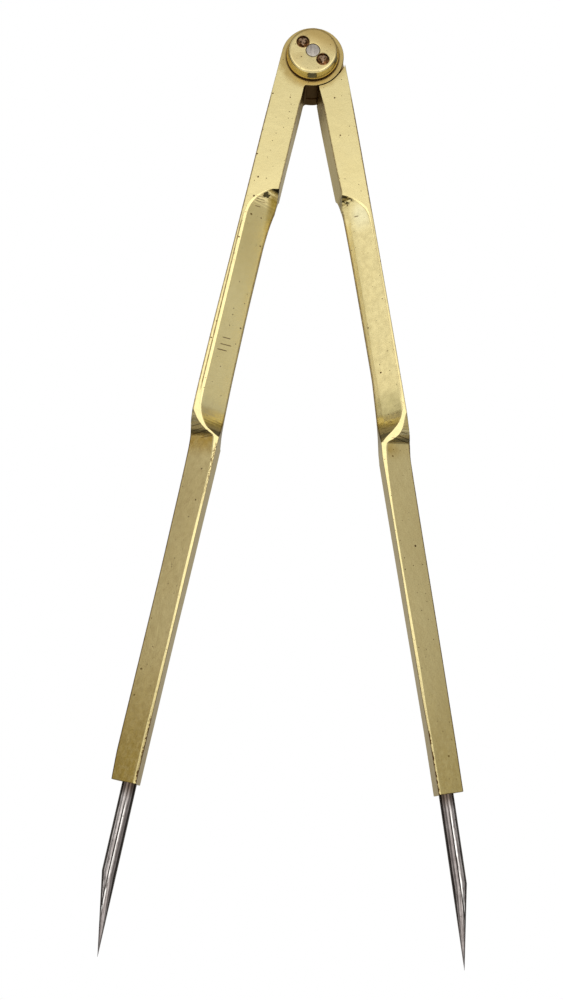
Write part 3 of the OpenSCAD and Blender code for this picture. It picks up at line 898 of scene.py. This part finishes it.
def cap_brass(name):
    """Brass of the nut and the boss, with painted shade at the nut's foot (it covers the whole boss
    too), over the top of the nut's face and, mottled, inside its holes.
    """
    m, g, shader = material(name)
    vector, x, s, z = place(g, 0)
    face = g.span(z, 9.3, 9.75)             # 1 on the nut's front face
    stain = g.both(g.span(g.grain(vector, 0.28, 3), 0.42, 0.66, 0.0, 0.3), face)
    # painted shade: the nut's face darker toward its top
    toward_top = g.math("SUBTRACT", g.math("MULTIPLY", x, 0.4), s)
    shadow = g.both(g.span(toward_top, -1.0, 5.4, 0.0, 1.0), face)
    # painted shade at the nut's foot, for the gap under the nut; it covers the whole boss as well
    low = g.span(z, 7.25, 6.9, 0.0, 0.95)
    colour = brass_common(g, shader, vector, g.most(stain, shadow, low), 0.13, 0.3, 0.04)
    colour = g.mix(g.both(face, 0.25), colour, NUT_FACE)
    # the painted shade at the nut's foot made darker
    colour = g.mix(g.both(low, 0.8), colour, DEEP)
    # painted shade inside the spanner holes, mottled dark and light brown
    hole_mottle = g.grain(vector, 1.6, 3, 0.6)
    hole_shade = g.mix(g.span(hole_mottle, 0.42, 0.6), (0.05, 0.022, 0.01, 1), (0.58, 0.38, 0.25, 1))
    for half_turn in (0, 180):
        a = math.radians(HOLE_TURN + half_turn)
        away = g.length(g.math("SUBTRACT", x, HOLE_AT * math.cos(a)),
                        g.math("ADD", s, HOLE_AT * math.sin(a)))
        hole = g.both(g.span(away, 1.95, 1.7), g.math("LESS_THAN", z, 9.78), 0.95)
        colour = g.mix(hole, colour, hole_shade)
    g.put(shader.inputs["Base Color"], colour)
    return m


def point_painted_light(g, x, s, streak, colour, leg):
    """Painted light on a steel point: painted shade on its inner side, and a painted highlight
    stripe and a painted dark reflection line that run down it.
    """
    lean = math.tan(math.radians(leg["point_lean"]))
    axis = BASE + leg["point_in"] + POINT_R + LEG_LEN * lean
    u = g.math("SUBTRACT", g.math("ABSOLUTE", x), g.math("MULTIPLY_ADD", s, -lean, axis))
    # painted shade: the inner side of the point darker
    colour = g.mix(g.span(u, 0.1, -0.5, 0.0, 0.6), colour, (0.16, 0.13, 0.12, 1))
    fade = g.span(s, 206.0, 211.0)
    # painted highlight: a bright stripe down the point
    off = g.math("ABSOLUTE", g.math("SUBTRACT", u, leg["side"] * 0.30))
    stripe = g.both(g.span(off, 0.2, 0.1), fade, g.span(streak, 0.35, 0.5), 0.9)
    colour = g.mix(stripe, colour, (1.0, 0.97, 0.92, 1))
    # painted reflection: a dark line down the middle of the point
    line = g.both(g.span(g.math("ABSOLUTE", u), 0.2, 0.1), fade, 0.92)
    return g.mix(line, colour, (0.03, 0.025, 0.02, 1))


def plain_steel(name, dark, light, rough, bumps, leg=None):
    """Steel with fine streaks and spots; a leg adds the painted highlight, reflection and shade of
    its point, a darker tip and a painted shadow below the brass.
    """
    m, g, shader = material(name)
    vector, x, s, z = place(g, leg["angle"] if leg else 0.0)
    cloud = g.grain(vector, 0.5, 4, 0.6)
    streak = g.grain(vector, 1.0, 3, 0.5, (4.0, 0.25, 4.0))
    shade = g.math("ADD", g.both(cloud, 0.4), g.both(streak, 0.6))
    colour = g.mix(g.span(shade, 0.38, 0.62), dark, light)
    if leg:
        colour = point_painted_light(g, x, s, streak, colour, leg)
    spots = pits(g, vector, 2.2, 0.05, 0.16, 0.35)
    colour = g.mix(g.both(spots, 0.7), colour, (0.09, 0.06, 0.04, 1))
    if leg:
        colour = g.mix(g.span(s, 240.5, 243.5, 0.0, 0.8), colour, (0.1, 0.09, 0.085, 1))
        # painted shadow of the brass on the point just below it
        neck_shadow = g.span(s, LEG_LEN + 4.4, LEG_LEN + 0.5, 0.0, 0.92)
        colour = g.mix(neck_shadow, colour, (0.1, 0.07, 0.05, 1))
    g.put(shader.inputs["Base Color"], colour)
    g.put(shader.inputs["Metallic"], 1.0)
    g.put(shader.inputs["Roughness"], g.span(cloud, 0.3, 0.7, rough + 0.06, rough))
    height = g.math("ADD", g.both(cloud, bumps * 0.4), g.both(streak, bumps))
    bump_node = g.node("Bump", {"Strength": 1.0, "Distance": MM, "Height": height})
    g.put(shader.inputs["Normal"], bump_node.outputs[0])
    return m


looks = {
    fork: leg_brass(FORK),
    tongue: leg_brass(TONGUE),
    points["fork"]: plain_steel("fork_steel", POINT_DARK, POINT_LIGHT, 0.1, 0.015, FORK),
    points["tongue"]: plain_steel("tongue_steel", POINT_DARK, POINT_LIGHT, 0.1, 0.015, TONGUE),
    pin: plain_steel("pin_steel", PIN_DARK, PIN_LIGHT, 0.42, 0.03),
    washer: plain_steel("washer_steel", WASHER_SHADE_DARK, WASHER_SHADE_LIGHT, 0.5, 0.02),
    nut: cap_brass("nut_brass"),
    boss: cap_brass("boss_brass"),
}
for piece, look in looks.items():
    piece.data.materials.clear()
    piece.data.materials.append(look)


# --- studio ---------------------------------------------------------------------
def glow(name, strength, obj):
    """White stage piece that only the camera sees."""
    m = bpy.data.materials.new(name)
    m.use_nodes = True
    tree = m.node_tree
    tree.nodes.clear()
    out = tree.nodes.new("ShaderNodeOutputMaterial")
    light = tree.nodes.new("ShaderNodeEmission")
    light.inputs[0].default_value = (1, 1, 1, 1)
    light.inputs[1].default_value = strength
    tree.links.new(light.outputs[0], out.inputs[0])
    obj.data.materials.append(m)
    for flag in ("visible_glossy", "visible_diffuse", "visible_shadow", "visible_transmission"):
        setattr(obj, flag, False)


bpy.ops.mesh.primitive_plane_add(size=9, location=(0, -0.1, -0.25))
floor = bpy.context.object
floor.name = "floor"
glow("floor_white", 1.0, floor)
bpy.ops.mesh.primitive_uv_sphere_add(segments=64, ring_count=32, radius=6, location=(0, 0, 0))
dome = bpy.context.object
dome.name = "backdrop"
glow("backdrop_white", 0.9, dome)

world = bpy.data.worlds.new("studio")
scene.world = world
world.use_nodes = True
g = Graph(world.node_tree)
sky = g.node("TexCoord").outputs["Generated"]
sx, sy, sz = g.node("SeparateXYZ", {0: sky}).outputs


def levels(value, stops):
    """Piecewise-linear grey levels of a value. The first two stops are its two ends."""
    ramp = g.node("ValToRGB", {0: value})
    items = ramp.color_ramp.elements
    for k, (where, level) in enumerate(stops):
        item = items[k] if k < 2 else items.new(where)
        item.position = where
        item.color = (level, level, level, 1)
    return ramp.outputs[0]


# The light above, by height: dark at the horizon, bright overhead.
above = levels(sz, [(0.0, 0.10), (1.0, 1.0), (0.06, 0.16), (0.10, 0.27), (0.13, 0.34),
                    (0.17, 0.40), (0.25, 0.42), (0.45, 0.34), (0.70, 0.42), (0.82, 0.5),
                    (0.88, 0.6), (0.925, 0.8), (0.96, 1.0)])
# Walls and panels of the room, each the part of the sky that one kind of face reflects.
right = g.both(g.span(sx, 0.4, 0.7), g.span(sz, 0.45, 0.30))
above = g.mix(right, above, g.mix(1.0, above, (1.28, 1.28, 1.28, 1), "MULTIPLY"))
left = g.both(g.span(sx, -0.45, -0.65), g.span(sz, 0.155, 0.22), g.span(sz, 0.40, 0.28))
above = g.mix(left, above, (0.88, 0.88, 0.88, 1))
front_wall = g.both(g.span(sy, -0.35, -0.55), g.span(sz, 0.40, 0.28))
above = g.mix(front_wall, above, (0.78, 0.78, 0.78, 1))
back_low = g.both(g.span(sy, 0.12, 0.32), g.span(sz, 0.16, 0.11))
above = g.mix(back_low, above, (0.33, 0.30, 0.27, 1))
left_low = g.both(g.span(sx, -0.80, -0.90), g.span(sz, 0.20, 0.165), g.span(sz, 0.05, 0.09), 0.85)
above = g.mix(left_low, above, (0.305, 0.275, 0.25, 1))
# Bright panels high at the back and a dark oval overhead, for the nut's rim and face.
side_x = g.math("ABSOLUTE", sx)
glint = g.both(g.span(side_x, 0.22, 0.36), g.span(side_x, 0.64, 0.52), g.span(sz, 0.68, 0.78),
               g.span(sy, 0.42, 0.34))
above = g.mix(glint, above, (1.3, 1.3, 1.3, 1))
high_panel = g.both(g.span(sy, 0.08, 0.16), g.span(sy, 0.37, 0.31), g.span(sz, 0.92, 0.955),
                    g.span(side_x, 0.3, 0.2))
above = g.mix(high_panel, above, (1.16, 1.16, 1.16, 1))
spread = g.length(g.math("DIVIDE", sx, 0.19), g.math("DIVIDE", sy, 0.105))
above = g.mix(g.span(spread, 1.12, 0.85), above, (0.30, 0.28, 0.27, 1))
# The light below, which the sides that lean down reflect.
under = g.node("VectorMath", {0: sky, 1: (0.0, 0.15, -0.989)},
               operation="DOT_PRODUCT").outputs["Value"]
below = levels(under, [(0.0, 0.03), (1.0, 0.32), (0.78, 0.10), (0.87, 0.26), (0.94, 0.32),
                       (0.985, 0.32)])
behind = g.both(g.span(sy, 0.3, 0.6), g.span(sz, -0.45, -0.30))
below = g.mix(behind, below, (0.245, 0.22, 0.175, 1))
below = g.mix(1.0, below, (1.0, 0.975, 0.91, 1), "MULTIPLY")
low_front = g.both(g.span(sy, -0.2, -0.45), g.span(sz, -0.40, -0.25))
below = g.mix(low_front, below, (0.17, 0.15, 0.11, 1))
front_rim = g.both(g.span(sy, -0.55, -0.75), g.span(sz, -0.14, -0.08))
below = g.mix(front_rim, below, (0.70, 0.70, 0.68, 1))
both = g.mix(g.math("GREATER_THAN", sz, 0.0), below, above)
bg = world.node_tree.nodes["Background"]
g.put(bg.inputs[0], both)
bg.inputs[1].default_value = 1.25

# --- camera -----------------------------------------------------------------------
# The photograph's view: turns from the object to the camera, then the camera's place, m.
tilt, yaw, roll = math.radians(-12.1431), math.radians(-0.2019), math.radians(-2.0679)
turn = Matrix.Rotation(roll, 3, "Z") @ Matrix.Rotation(yaw, 3, "Y") @ Matrix.Rotation(tilt, 3, "X")
back = turn.transposed()
spot = back @ Vector((-0.0085749, -0.1211559, 0.4555334)) + Vector((0, 0, MID_Z * MM))
cam = bpy.data.cameras.new("camera")
cam.lens = 58.60
cam.sensor_width = 36
cam.clip_start = 0.01
camera = bpy.data.objects.new("camera", cam)
scene.collection.objects.link(camera)
camera.matrix_world = Matrix.Translation(spot) @ back.to_4x4()
scene.camera = camera
